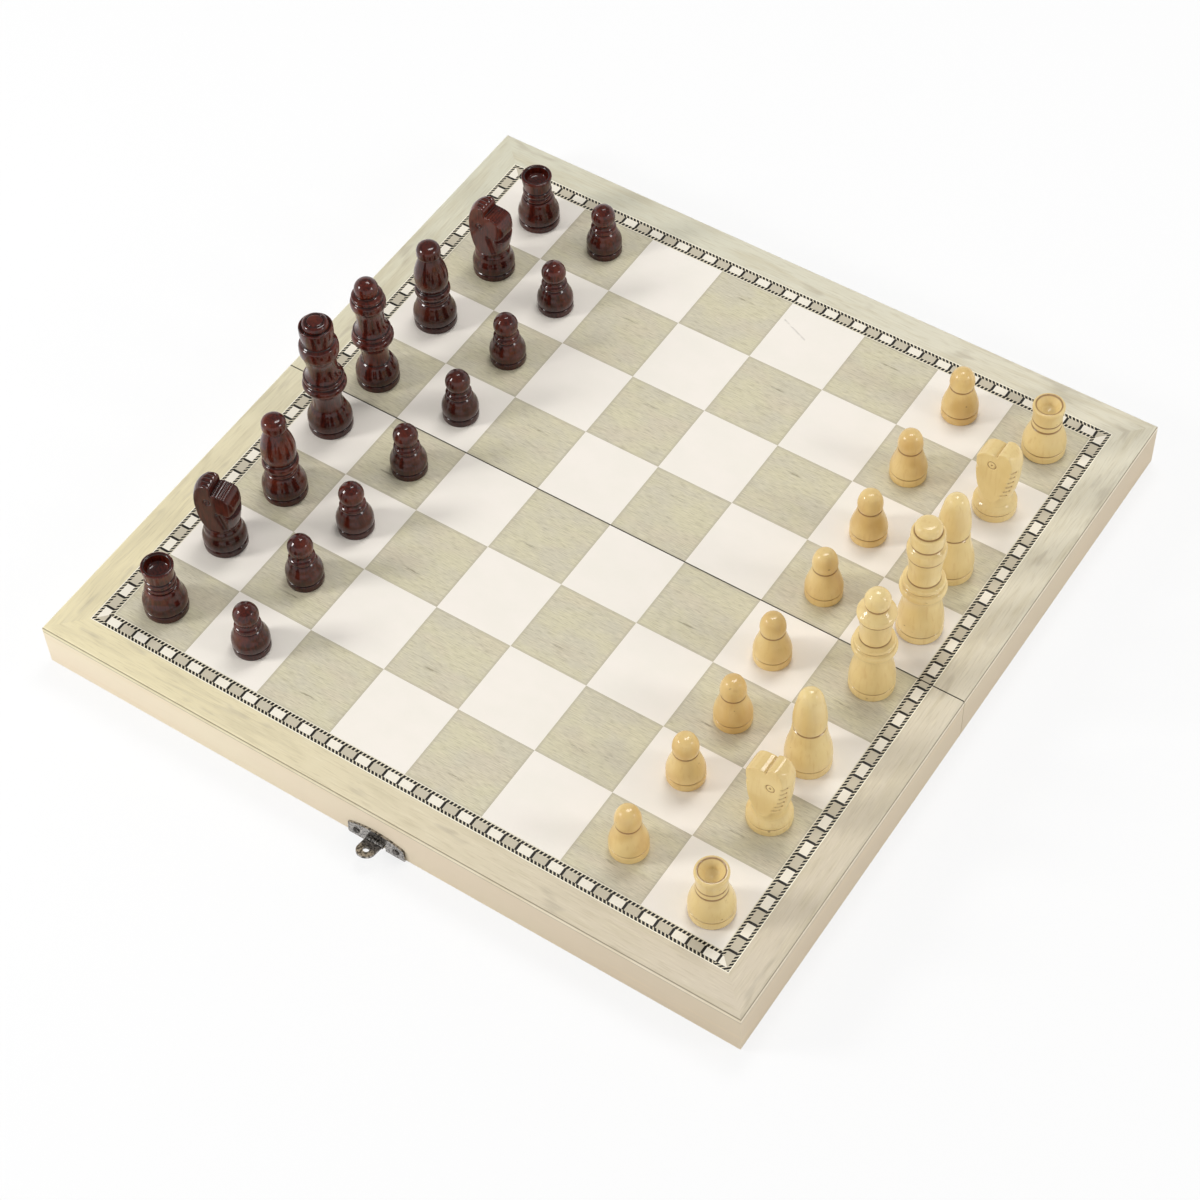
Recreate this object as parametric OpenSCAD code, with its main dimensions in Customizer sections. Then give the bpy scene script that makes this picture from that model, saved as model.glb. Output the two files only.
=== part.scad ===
// Folding wooden board box with a set of turned chessmen.
// The box lies open on its rims, with the playing surface up and the men set out on it.
// X runs along the fold towards the light men, Y towards the far edge, Z up.
// The origin is at the middle of the underside, on the line about which the halves fold.

/* [Board] */
// Length of the board along the fold
board_w = 290; // [250:1:330]
// Depth of one half, from the fold to its outer wall
half_d = 145; // [125:1:165]
// Height of one half, from rim to playing surface
tray_h = 20.3; // [18:0.1:26]
// Thickness of the playing panel
panel_t = 2.6; // [2:0.1:4]
// Rounding of the panel's outer edges
panel_round = 0.9; // [0.4:0.1:1.4]
// Thickness of the walls
wall_t = 8; // [7:0.5:10]
// Chamfer on the rim's outer edges
rim_ease = 0.5; // [0.2:0.1:0.9]
// Gap between the two halves at the fold
seam_gap = 0.3; // [0.2:0.05:0.6]
// Side of one square of the playing field
square_w = 31.7; // [29:0.1:34]

/* [Hinges] */
// Length of a hinge along the fold
hinge_len = 26; // [20:1:36]
// Distance from the side wall's outer face to the middle of a hinge
hinge_inset = 58; // [35:1:90]
// Width of a leaf, from the pin to its edge
leaf_w = 7; // [6:0.1:7.4]
// Thickness of a leaf
leaf_t = 0.8; // [0.6:0.05:1.2]
// Radius of the barrel
barrel_r = 1; // [0.9:0.05:1.4]
// Radius of the hinge pin
hinge_pin_r = 0.5; // [0.4:0.05:0.6]
// Distance between the two screws of a leaf
hinge_screw_pitch = 14; // [10:0.5:16]
// Radius of a hinge screw's shank
screw_r = 0.75; // [0.6:0.05:0.9]
// Radius of a hinge screw's head
screw_head_r = 1.5; // [1.2:0.05:1.6]
// Length of a hinge screw
screw_len = 7; // [5:0.5:10]

/* [Clasp] */
// Length of the clasp plate and of the catch plate
clasp_w = 24; // [20:0.5:32]
// Height of these plates at their ends
clasp_end_h = 6.6; // [5:0.1:7]
// Height of these plates at the middle of their arched edge
clasp_mid_h = 9.2; // [7.5:0.1:11]
// Thickness of the clasp's sheet metal
clasp_t = 0.8; // [0.5:0.05:1]
// Width of the hasp
hasp_w = 7; // [5.5:0.1:9]
// Distance from the clasp pin to the middle of the hasp's hole
hasp_reach = 5.2; // [4.6:0.1:7]
// Radius of the hasp's hole
hasp_hole_r = 1.15; // [0.9:0.05:1.4]
// Height of the clasp pin above the rim
clasp_pin_z = 4; // [3.6:0.1:4.4]
// Radius of the clasp pin
clasp_pin_r = 0.45; // [0.3:0.05:0.55]
// Radius of the clasp's rolled knuckles
knuckle_r = 1.1; // [1:0.05:1.3]
// Angle by which the hasp stands above the horizontal
hasp_lift = 15; // [0:1:40]
// Distance between the two nails of a plate
nail_pitch = 16.6; // [14:0.2:20]
// Radius of a nail's head
nail_head_r = 1.4; // [1:0.05:1.7]
// Radius of a nail's shank
nail_r = 0.6; // [0.4:0.05:0.8]
// Length of a nail's shank behind the plate
nail_len = 6; // [4:0.5:7]

/* [Men] */
// Height of the dark king
dark_king_h = 56.4; // [50:0.2:64]
// Height of the light king
light_king_h = 58.2; // [50:0.2:64]
// Height of the dark queen
dark_queen_h = 53; // [46:0.2:58]
// Height of the light queen
light_queen_h = 52.4; // [46:0.2:58]
// Height of a bishop
bishop_h = 40.6; // [36:0.2:48]
// Height of a knight
knight_h = 34.2; // [30:0.2:40]
// Height of a rook
rook_h = 24.2; // [20:0.1:29]
// Height of a pawn
pawn_h = 23.2; // [19:0.1:27]
// Base radius of a king
king_r = 8.4; // [7:0.1:10]
// Base radius of a queen
queen_r = 8.2; // [7:0.1:10]
// Base radius of a bishop
bishop_r = 8.3; // [7:0.1:10]
// Base radius of a knight
knight_r = 8.1; // [7:0.1:10]
// Base radius of a rook
rook_r = 8.1; // [7:0.1:10]
// Base radius of a pawn
pawn_r = 6.9; // [6:0.1:8.5]
// Thickness of a knight's head near its crest
head_t = 8.6; // [8:0.2:10]

/* [Fits] */
// Radial clearance of a pin in its knuckles
pin_fit = 0.05; // [0.02:0.01:0.1]
// Gap between knuckles along their pin
knuckle_gap = 0.15; // [0.1:0.05:0.3]
// Clearance of a screw or nail in its hole
screw_fit = 0.04; // [0.02:0.01:0.1]
// Clearance of a leaf and its barrel in the wood
leaf_fit = 0.15; // [0.1:0.05:0.25]
// Depth by which a leaf lies under the rim
leaf_sink = 0.05; // [0.03:0.01:0.15]

/* [Hidden] */
$fn = 48;
wall_h = tray_h - panel_t;
half_w = board_w / 2;
tray_in_w = board_w - 2 * wall_t;
hinge_x = half_w - hinge_inset;

// Width of a screw's slot
slot_w = 0.4;
// The clasp pin runs just off the wall's face, and half of the hasp's own knuckle is a sixth of its width
knuckle_y = -half_d - knuckle_r - 0.15;
hasp_knuckle = hasp_w / 6;
// Opening for the hasp's knuckle in the plate, and the plates' lower edge above the rim
notch_w = hasp_w + 4 * knuckle_gap;
plate_foot = 0.4;
nail_z = 3.6;
// Height above the rim at which the closed hasp's hole meets the catch
catch_z = hasp_reach - clasp_pin_z;

panel_wood = "#ded4b6";
wall_wood = "#e4d3bd";
nickel = "#b9b6b2";
steel = "#9a9894";
dark_wood = "#4a1c16";
light_wood = "#e6cf96";

// ---- The men: who stands where ----

SIDES = ["dark", "light"];
BACK_ROW = [
    "near_rook", "near_knight", "near_bishop", "king",
    "queen", "far_bishop", "far_knight", "far_rook"
];
// The two royal men stand the other way round on the light side
LIGHT_ROW = [for (n = BACK_ROW) n == "king" ? "queen" : n == "queen" ? "king" : n];

function row(side) = side == "dark" ? BACK_ROW : LIGHT_ROW;
function man_names(side) = concat(
    [for (n = row(side)) str(side, "_", n)],
    [for (i = [1:8]) str(side, "_pawn_", i)]
);

// ---- Board ----

// Half-open section of the panel: square below, rounded along its two top edges
module panel_section(w, t, round_left, round_right) {
    translate([-w / 2, 0]) square([w, t - panel_round]);
    translate([-w / 2 + (round_left ? panel_round : 0), 0])
        square([w - (round_left ? panel_round : 0) - (round_right ? panel_round : 0), t]);
    if (round_left) translate([-w / 2 + panel_round, t - panel_round]) circle(r = panel_round);
    if (round_right) translate([w / 2 - panel_round, t - panel_round]) circle(r = panel_round);
}

// Playing panel of the near half: its top edge is rounded except along the fold
module half_panel() {
    depth = half_d - seam_gap / 2;
    translate([0, -seam_gap / 2 - depth / 2, wall_h]) intersection() {
        rotate([90, 0, 0]) linear_extrude(depth, center = true) panel_section(board_w, panel_t, true, true);
        rotate([90, 0, 90]) linear_extrude(board_w, center = true) panel_section(depth, panel_t, true, false);
    }
}

// A wall along X with mitred ends, its outer face at y = 0 and the wall behind it towards +Y
module mitred_wall(length) {
    intersection() {
        linear_extrude(wall_h) polygon([
            [-length / 2, 0], [length / 2, 0],
            [length / 2 - wall_t, wall_t], [-length / 2 + wall_t, wall_t]
        ]);
        rotate([90, 0, 90]) linear_extrude(length, center = true)
            polygon([[rim_ease, 0], [wall_t, 0], [wall_t, wall_h], [0, wall_h], [0, rim_ease]]);
    }
}

module outer_wall() {
    difference() {
        translate([0, -half_d, 0]) mitred_wall(board_w);
        nail_holes(-half_d, nail_len + screw_fit);
    }
}

module fold_wall() {
    difference() {
        translate([0, -seam_gap / 2, 0]) mirror([0, 1, 0]) mitred_wall(board_w);
        for (side = [-1, 1]) translate([side * hinge_x, 0, 0]) hinge_mortise();
    }
}

module side_wall() {
    depth = half_d - seam_gap / 2;
    translate([-half_w, -seam_gap / 2 - depth / 2, 0]) rotate([0, 0, -90]) mitred_wall(depth);
}

module other_half() {
    mirror([0, 1, 0]) children();
}

// ---- Hinges: leaves let into the rims, pin on the fold line ----

// Ends of the three knuckles along the pin
function knuckle_span(i) = [-hinge_len / 2 + i * hinge_len / 3, -hinge_len / 2 + (i + 1) * hinge_len / 3];

module along_x(r, x0, x1) {
    translate([x0, 0, 0]) rotate([0, 90, 0]) cylinder(r = r, h = x1 - x0);
}

module hinge_screw_places() {
    for (side = [-1, 1])
        translate([side * hinge_screw_pitch / 2, -(leaf_w + barrel_r) / 2 - leaf_fit, leaf_sink]) children();
}

// Screw with a countersunk head, its face down at the leaf's outer face
module countersunk(r, head_r, length, slot) {
    difference() {
        union() {
            cylinder(r1 = head_r, r2 = r, h = head_r - r);
            cylinder(r = r, h = length);
        }
        if (slot) translate([-head_r, -slot_w / 2, -slot_w]) cube([2 * head_r, slot_w, 2 * slot_w]);
    }
}

module hinge_mortise() {
    reach = hinge_len / 2 + leaf_fit;
    translate([-reach, -leaf_w - leaf_fit, -1]) cube([2 * reach, leaf_w + leaf_fit, 1 + leaf_sink + leaf_t]);
    along_x(barrel_r + leaf_fit, -reach, reach);
    hinge_screw_places() cylinder(r = screw_r + screw_fit, h = screw_len + screw_fit);
}

// Leaf towards -Y that holds the given knuckles
module leaf(knuckles) {
    slab_y = barrel_r + 2 * leaf_fit;
    difference() {
        union() {
            translate([-hinge_len / 2, -leaf_w, leaf_sink]) cube([hinge_len, leaf_w - slab_y, leaf_t]);
            for (i = knuckles) let (s = knuckle_ends(i)) {
                along_x(barrel_r, s[0], s[1]);
                translate([s[0], -slab_y - 0.1, leaf_sink]) cube([s[1] - s[0], slab_y + 0.1, leaf_t]);
            }
        }
        for (i = knuckles) let (s = knuckle_ends(i)) along_x(hinge_pin_r + pin_fit, s[0] - 1, s[1] + 1);
        hinge_screw_places() countersunk(screw_r + screw_fit, screw_head_r + screw_fit, 2 * leaf_t, false);
    }
}

// A knuckle stops short of its neighbour by half the gap
function knuckle_ends(i) = let (s = knuckle_span(i), half_gap = knuckle_gap / 2)
    [s[0] + (i > 0 ? half_gap : 0), s[1] - (i < 2 ? half_gap : 0)];

module hinge_pin() {
    along_x(hinge_pin_r, -hinge_len / 2, hinge_len / 2);
}

module hinge_screws() {
    for (side = [-1, 1]) translate([side * hinge_x, 0, 0])
        hinge_screw_places() countersunk(screw_r, screw_head_r, screw_len, true);
}

// ---- Clasp: plate and hasp on the near wall, catch on the far wall ----

// Outline of a plate in X and Z: straight along the rim, arched above
module plate_outline() {
    rise = clasp_mid_h - clasp_end_h;
    chord = clasp_w / 2 - 0.6;
    arch_r = (chord * chord + rise * rise) / (2 * rise);
    intersection() {
        translate([0, clasp_mid_h - arch_r]) circle(r = arch_r, $fn = 160);
        polygon([
            [-clasp_w / 2, plate_foot + 0.5], [-clasp_w / 2 + 0.5, plate_foot],
            [clasp_w / 2 - 0.5, plate_foot], [clasp_w / 2, plate_foot + 0.5],
            [chord, clasp_mid_h], [-chord, clasp_mid_h]
        ]);
    }
}

// Stands an outline up on the near wall's outer face, t thick
module on_near_wall(t) {
    translate([0, -half_d, 0]) rotate([90, 0, 0]) linear_extrude(t) children();
}

module nail_places(y) {
    for (side = [-1, 1]) translate([side * nail_pitch / 2, y, nail_z]) rotate([90, 0, 0]) children();
}

module nail_holes(y, depth) {
    nail_places(y) translate([0, 0, -depth]) cylinder(r = nail_r + screw_fit, h = depth + 2 * clasp_t);
}

module nails() {
    nail_places(-half_d - clasp_t) {
        translate([0, 0, -nail_len - clasp_t]) cylinder(r = nail_r, h = nail_len + clasp_t);
        rotate_extrude() intersection() {
            translate([0, -nail_head_r * 0.9]) circle(r = nail_head_r * 1.5);
            square([nail_head_r, nail_head_r]);
        }
    }
}

module clasp_barrel_segment(x0, x1) {
    translate([0, knuckle_y, clasp_pin_z]) along_x(knuckle_r, x0, x1);
}

module clasp_plate() {
    color(nickel) difference() {
        union() {
            on_near_wall(clasp_t) difference() {
                plate_outline();
                translate([-notch_w / 2, 0]) square([notch_w, clasp_pin_z + 0.3]);
                translate([-hasp_knuckle - knuckle_gap, 0])
                    square([2 * (hasp_knuckle + knuckle_gap), clasp_pin_z + knuckle_r + knuckle_gap]);
            }
            for (side = [-1, 1]) {
                x0 = side > 0 ? hasp_knuckle + knuckle_gap : -hasp_w / 2;
                x1 = side > 0 ? hasp_w / 2 : -hasp_knuckle - knuckle_gap;
                clasp_barrel_segment(x0, x1);
                translate([x0, -half_d - clasp_t, clasp_pin_z])
                    cube([x1 - x0, clasp_t, knuckle_r + 0.4]);
            }
        }
        translate([0, knuckle_y, clasp_pin_z]) along_x(clasp_pin_r + pin_fit, -hasp_w, hasp_w);
        nail_holes(-half_d, 1);
    }
}

module clasp_pin() {
    color(steel) translate([0, knuckle_y, clasp_pin_z]) along_x(clasp_pin_r, -hasp_w / 2, hasp_w / 2);
}

// Hasp lying outwards from the pin, along -Y before it is lifted
module hasp() {
    end_r = hasp_w / 2;
    color(nickel) translate([0, knuckle_y, clasp_pin_z]) rotate([-hasp_lift, 0, 0]) difference() {
        union() {
            along_x(knuckle_r, -hasp_knuckle, hasp_knuckle);
            translate([0, 0, -clasp_t / 2]) linear_extrude(clasp_t) {
                translate([0, -hasp_reach]) circle(r = end_r);
                translate([-end_r, -hasp_reach]) square([hasp_w, hasp_reach - knuckle_r - 0.2]);
                translate([-hasp_knuckle, -hasp_reach]) square([2 * hasp_knuckle, hasp_reach]);
            }
        }
        along_x(clasp_pin_r + pin_fit, -hasp_w, hasp_w);
        translate([0, -hasp_reach, -1]) cylinder(r = hasp_hole_r, h = 2);
    }
}

module catch_plate() {
    stud_r = hasp_hole_r - 0.15;
    reach = knuckle_r + clasp_t;
    color(nickel) other_half() {
        difference() {
            on_near_wall(clasp_t) plate_outline();
            nail_holes(-half_d, 1);
        }
        translate([0, -half_d, catch_z]) rotate([90, 0, 0]) {
            cylinder(r = stud_r * 0.7, h = reach);
            translate([0, 0, reach]) sphere(r = stud_r);
        }
    }
}

module clasp_nails() {
    color(steel) nails();
}

module catch_nails() {
    color(steel) other_half() nails();
}

// ---- Men ----

// Points of a curve from a to d, drawn towards b and c
function curve(a, b, c, d, n = 6) = [for (i = [0:n]) let (t = i / n, s = 1 - t)
    s * s * s * a + 3 * s * s * t * b + 3 * s * t * t * c + t * t * t * d];

// Half-round bead that stands out from radius r to radius out between two heights
function bead(r, out, z0, z1, n = 6) = [for (i = [0:n]) let (a = -90 + 180 * i / n)
    [r + (out - r) * cos(a), (z0 + z1) / 2 + (z1 - z0) / 2 * sin(a)]];

// Part of a ball about the axis, from a low latitude up to the pole, its height squeezed by flat
function ball(r, z, from, flat = 1, n = 8) = [for (i = [0:n]) let (a = from + (90 - from) * i / n)
    [r * cos(a), z + r * flat * sin(a)]];

// Foot of every man: a low disc, a groove at height z and the start of the shoulder
function foot(r, z = 2.9) = concat(
    [[0, 0]],
    curve([r - 0.5, 0], [r - 0.1, 0], [r, 0.2], [r, 0.7], 3),
    [[r, z - 0.6], [r - 0.3, z - 0.2], [r - 0.75, z], [r - 0.3, z + 0.3], [r, z + 0.7]]
);

// Shoulder that stands upright on the foot and rounds over to a neck
function dome(r, neck, top) = concat(
    curve([r, 3.6], [r + 0.15, 4.8], [r + 0.1, 6.2], [r - 0.5, 7.6], 5),
    curve([r - 0.75, 8.1], [r - 1.5, 9.5], [neck + 0.9, top - 0.9], [neck, top], 5)
);

// Outline stretched so that its base has radius r and its top is at height h
function fitted(outline, r, h) = let (
    top = max([for (p = outline) p[1]]),
    base = outline[4][0]
) [for (p = outline) [p[0] * r / base, p[1] * h / top]];

module turned(outline, r, h) {
    rotate_extrude($fn = 64) polygon(fitted(outline, r, h));
}

dark_pawn_line = concat(
    foot(6.9), dome(6.9, 4.7, 11.0),
    bead(4.4, 4.95, 11.3, 13.2), [[4.0, 13.6], [3.8, 14.0]],
    ball(4.7, 17.6, -40)
);
dark_rook_line = concat(
    foot(8.0), dome(8.0, 5.7, 12.9),
    bead(5.1, 5.6, 13.1, 14.8), [[4.9, 15.0]], bead(5.0, 5.6, 15.2, 17.6), [[4.9, 17.9]],
    curve([5.3, 18.2], [5.4, 19.6], [5.6, 21.0], [5.8, 22.4], 4),
    curve([5.9, 23.0], [5.9, 23.4], [5.7, 23.6], [5.3, 23.6], 3),
    curve([4.9, 23.6], [4.6, 23.5], [4.4, 23.2], [4.3, 22.6], 3),
    curve([4.1, 21.0], [3.9, 20.1], [3.0, 19.9], [0, 19.8], 4)
);
dark_bishop_line = concat(
    foot(8.3), dome(8.3, 5.9, 12.0),
    bead(5.4, 6.0, 12.4, 14.4), [[5.3, 14.8]], bead(5.8, 6.85, 15.2, 18.6), [[5.6, 19.0]],
    curve([5.8, 19.4], [6.9, 22.0], [6.8, 26.0], [5.2, 30.2], 8),
    curve([4.9, 31.0], [4.4, 32.4], [3.8, 33.4], [3.5, 34.2], 4),
    curve([4.1, 34.4], [4.6, 34.8], [4.7, 35.6], [4.6, 36.6], 4),
    curve([4.5, 37.8], [3.9, 39.8], [2.2, 40.0], [0, 40.0], 6)
);
dark_queen_line = concat(
    foot(8.4), dome(8.4, 5.9, 11.2),
    curve([5.4, 11.6], [5.1, 13.0], [5.1, 15.5], [5.5, 17.6], 5),
    curve([5.8, 18.8], [6.3, 20.2], [6.7, 21.0], [7.1, 21.5], 4),
    bead(7.2, 8.15, 21.8, 25.2), [[6.8, 25.5]], bead(6.6, 7.4, 25.8, 27.6),
    curve([6.5, 27.9], [5.8, 28.6], [5.4, 30.0], [5.35, 32.0], 5),
    curve([5.35, 33.6], [5.3, 35.6], [5.6, 37.4], [6.1, 38.8], 4),
    bead(6.2, 6.85, 39.3, 43.1), [[5.7, 43.4]], bead(5.5, 6.1, 43.7, 45.4), [[4.9, 45.7], [4.3, 45.9]],
    ball(4.65, 48.1, -25, 0.9)
);
dark_king_line = concat(
    foot(8.4), dome(8.4, 6.0, 11.6),
    curve([5.7, 12.2], [5.5, 13.6], [5.5, 16.0], [5.8, 18.0], 5),
    curve([6.0, 19.2], [6.4, 20.8], [6.8, 21.5], [7.2, 21.9], 4),
    bead(7.2, 8.3, 22.0, 25.3), [[6.9, 25.6]], bead(6.8, 7.7, 25.9, 28.2),
    curve([6.8, 28.5], [6.1, 29.5], [5.8, 30.6], [5.7, 32.4], 5),
    curve([5.7, 34.0], [5.8, 36.0], [6.2, 37.6], [6.8, 39.2], 4),
    bead(6.8, 7.4, 39.6, 45.4), [[6.3, 45.7], [5.9, 46.1], [5.9, 46.6]],
    curve([6.0, 47.0], [6.1, 48.4], [6.3, 49.6], [6.35, 51.0], 4),
    curve([6.35, 53.0], [6.35, 53.8], [6.1, 54.1], [5.7, 54.0], 4),
    [[5.2, 53.6]],
    curve([5.0, 53.9], [4.9, 55.3], [4.6, 56.1], [3.6, 56.2], 5),
    [[3.3, 56.2], [3.1, 55.9], [2.9, 56.2]],
    curve([2.4, 56.3], [1.6, 56.4], [0.8, 56.4], [0, 56.4], 3)
);

light_pawn_line = concat(
    foot(6.9, 3.5),
    curve([6.9, 4.2], [7.0, 4.8], [6.8, 6.2], [6.2, 8.2], 5),
    curve([5.8, 9.4], [5.2, 11.2], [4.8, 12.6], [4.6, 14.2], 5),
    [[4.5, 14.5], [4.15, 14.9], [4.4, 15.3]],
    curve([4.6, 16.0], [4.8, 17.4], [4.6, 19.0], [4.0, 20.4], 5),
    curve([3.5, 21.5], [2.5, 22.9], [1.3, 23], [0, 23], 5)
);
light_rook_line = concat(
    foot(8.0, 3.5),
    curve([8.0, 4.2], [8.1, 5.2], [7.8, 7.2], [7.1, 9.0], 5),
    curve([6.7, 10.2], [6.2, 11.4], [5.8, 12.4], [5.6, 13.4], 4),
    [[5.25, 13.8]], bead(5.3, 5.55, 14.1, 16.3), [[5.2, 16.6]],
    curve([5.4, 17.0], [5.4, 18.6], [5.5, 20.2], [5.8, 21.6], 4),
    curve([5.9, 22.6], [5.9, 23.3], [5.6, 23.6], [5.1, 23.6], 4),
    curve([4.6, 23.6], [4.2, 23.0], [3.6, 22.2], [3.0, 21.4], 4),
    curve([2.4, 20.6], [1.6, 20.2], [0.8, 20.0], [0, 19.9], 3)
);
light_bishop_line = concat(
    foot(8.1, 3.5),
    curve([8.1, 4.2], [8.3, 6.0], [7.9, 9.4], [7.0, 13.0], 6),
    curve([6.7, 14.2], [6.2, 16.4], [6.0, 18.6], [5.8, 20.6], 4),
    [[5.7, 20.8], [5.2, 21.2], [5.4, 21.6]],
    curve([5.6, 22.0], [6.0, 24.6], [5.8, 28.0], [5.0, 32.4], 7),
    curve([4.6, 34.4], [4.2, 37.8], [3.0, 40.6], [0, 40.6], 8)
);
light_queen_line = concat(
    foot(8.2, 3.5),
    curve([8.2, 4.2], [8.3, 6.4], [7.8, 10.0], [6.9, 13.6], 6),
    curve([6.5, 15.4], [6.2, 17.4], [6.3, 19.4], [6.8, 21.0], 4),
    bead(7.0, 8.1, 21.3, 24.5), [[6.7, 24.8]], bead(6.5, 7.3, 25.1, 27.0),
    [[6.0, 27.3], [5.2, 27.7], [5.45, 28.2]],
    curve([5.5, 28.7], [5.5, 29.6], [5.5, 30.6], [5.5, 31.6], 3),
    curve([5.5, 33.4], [5.6, 35.6], [6.1, 37.6], [6.5, 39.2], 4),
    bead(6.4, 6.9, 39.4, 42.0),
    curve([6.1, 42.3], [5.5, 43.0], [4.9, 43.6], [4.3, 44.1], 4),
    ball(4.6, 47.4, -38)
);
light_king_line = concat(
    foot(8.4, 3.5),
    curve([8.4, 4.2], [8.5, 6.8], [8.0, 10.4], [7.2, 14.4], 6),
    curve([6.9, 16.0], [6.6, 18.0], [6.7, 20.0], [7.2, 21.8], 4),
    bead(7.2, 8.4, 22.2, 26.2), [[6.9, 26.5]], bead(6.7, 7.6, 26.8, 29.2),
    [[6.1, 29.5], [5.6, 29.8], [5.8, 30.3]],
    curve([5.85, 30.8], [5.8, 31.4], [5.8, 32.2], [5.8, 33.0], 3),
    curve([5.8, 35.0], [5.9, 37.4], [6.2, 39.8], [6.5, 42.0], 4),
    bead(6.4, 6.95, 42.4, 47.2), [[5.8, 47.6], [5.35, 48.2], [5.6, 48.8]],
    curve([5.9, 49.2], [6.1, 50.4], [6.1, 52.4], [5.9, 53.9], 4),
    [[5.6, 54.5], [4.7, 54.8]],
    curve([4.7, 55.2], [4.9, 56.6], [4.7, 57.9], [3.6, 58.4], 5),
    curve([3.0, 58.7], [2.0, 58.8], [1.0, 58.8], [0, 58.8], 3)
);

// ---- Knights: heads sawn and carved from turned blanks, facing +X ----

dark_knight_blank = concat(
    foot(8.0), dome(8.0, 6.3, 11.6),
    [[6.1, 12.1]], curve([6.3, 12.8], [7.0, 14.4], [7.6, 17.0], [7.9, 20.0], 5),
    curve([8.2, 24.0], [8.3, 29.0], [7.0, 33.6], [4.2, 34.5], 6),
    [[0, 34.6]]
);
light_knight_blank = concat(
    foot(8.2, 3.4),
    curve([8.2, 4.1], [8.1, 5.2], [7.6, 5.9], [6.9, 6.6], 4),
    curve([6.4, 7.1], [6.1, 7.9], [6.1, 8.8], [6.3, 10.0], 4),
    curve([6.8, 12.4], [7.8, 16.0], [8.1, 20.0], [8.2, 24.0], 5),
    curve([8.3, 28.0], [7.8, 32.0], [6.6, 34.4], [4.0, 35.0], 6),
    [[0, 35.1]]
);

// Side views of what stays of a blank: throat and mouth, nose, forehead, sawn step and crest
dark_head_line = concat(
    [[-20, 0], [20, 0], [20, 19.9]],
    [[7.6, 20.0], [5.0, 21.4], [7.3, 22.7], [7.8, 23.4], [7.8, 25.6]],
    curve([7.7, 26.0], [7.3, 28.4], [6.0, 30.4], [4.2, 30.9], 5),
    [[0.5, 31.1], [0.4, 30.5], [0.0, 30.5], [0.1, 33.2]],
    curve([-0.3, 34.2], [-1.6, 34.8], [-3.2, 34.9], [-4.8, 34.4], 5),
    [[-9, 31.5], [-20, 31.5]]
);
light_head_line = concat(
    [[-20, 0], [20, 0], [20, 21.3]],
    [[8.1, 21.4], [5.9, 24.0], [7.7, 25.9], [7.9, 26.5]],
    curve([7.8, 27.6], [7.2, 29.6], [6.0, 31.2], [4.0, 32.0], 5),
    [[2.0, 32.3], [0.4, 32.2], [-0.4, 31.8], [-0.7, 32.2]],
    curve([-0.8, 33.6], [-1.8, 34.6], [-3.2, 34.9], [-4.8, 34.4], 5),
    [[-9, 31.5], [-20, 31.5]]
);

// The sawn flanks lean inwards towards the top
flank_low = [5.95, 9.4];
flank_high = [head_t / 2 - 0.6, 36];
flank_tilt = atan((flank_low[0] - flank_high[0]) / (flank_high[1] - flank_low[1]));
function flank(z) = flank_low[0] - (z - flank_low[1]) * tan(flank_tilt);

// Lays its children on a flank, their Z pointing out of the wood and their Y down the neck
module at_flank(x, z) {
    translate([x, flank(z), z]) rotate([flank_tilt - 90, 0, 0]) children();
}

// Straight groove on a flank between two points in side view; lift makes it shallower than it is wide
module flank_groove(from, to, r, lift = 0) {
    along = to[0] - from[0];
    down = (from[1] - to[1]) / cos(flank_tilt);
    at_flank(from[0], from[1]) translate([0, 0, lift]) rotate([0, 0, atan2(down, along)])
        rotate([0, 90, 0]) cylinder(r = r, h = norm([along, down]), $fn = 24);
}

// Eye: a punched ring with its middle pricked
module eye_ring(place, r) {
    at_flank(place[0], place[1]) {
        rotate_extrude($fn = 32) translate([r, 0]) circle(r = 0.32, $fn = 16);
        sphere(r = 0.45, $fn = 16);
    }
}

// Jaw line from the mouth, and the throat cut down from its end
module jaw_and_throat() {
    flank_groove([1.0, 21.8], [7.6, 21.4], 0.5);
    flank_groove([2.3, 21.6], [5.2, 14.8], 2.4, 1.65);
}

// Strands combed over the crest
module crest_strands() {
    for (y = [-2.6, -0.9, 0.9, 2.6])
        translate([0.2, y, 34.75]) rotate([0, -90, 0]) cylinder(r = 0.45, h = 8, $fn = 16);
}

// Saw marks across the forehead
module forehead_marks() {
    for (x = [1.3, 2.5, 3.7, 4.9])
        translate([x, 0, 31.25 - 0.022 * x * x]) rotate([90, 0, 0])
            cylinder(r = 0.3, h = 30, center = true, $fn = 16);
}

// Scallops filed across the corner where a flank meets the back of the neck
module mane_scallops() {
    for (i = [0:5]) let (z = 14 + 2.6 * i, corner = 8.15 - 0.045 * (5 - i) * (5 - i))
        rotate([0, 0, 184 - asin(flank(z) / corner)]) translate([corner + 0.4, 0, z])
            rotate([90, 0, 0]) cylinder(r = 0.9, h = 4.4, center = true, $fn = 24);
}

// Saws a head out of a blank; the first child is carved in both flanks, the others just once
module knight(blank, head_line, neck, r, h) {
    tall = max([for (p = blank) p[1]]);
    base = blank[4][0];
    difference() {
        turned(blank, r, h);
        scale([r / base, r / base, h / tall]) {
            rotate([90, 0, 0]) linear_extrude(40, center = true) difference() {
                translate([-20, 14]) square([40, 30]);
                polygon(head_line);
            }
            for (side = [0, 1]) mirror([0, side, 0]) {
                rotate([90, 0, 90]) linear_extrude(40, center = true)
                    polygon([[flank(neck), neck], flank_high, [20, flank_high[1]], [20, neck]]);
                children(0);
            }
            for (i = [1:1:$children - 1]) children(i);
        }
    }
}

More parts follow.
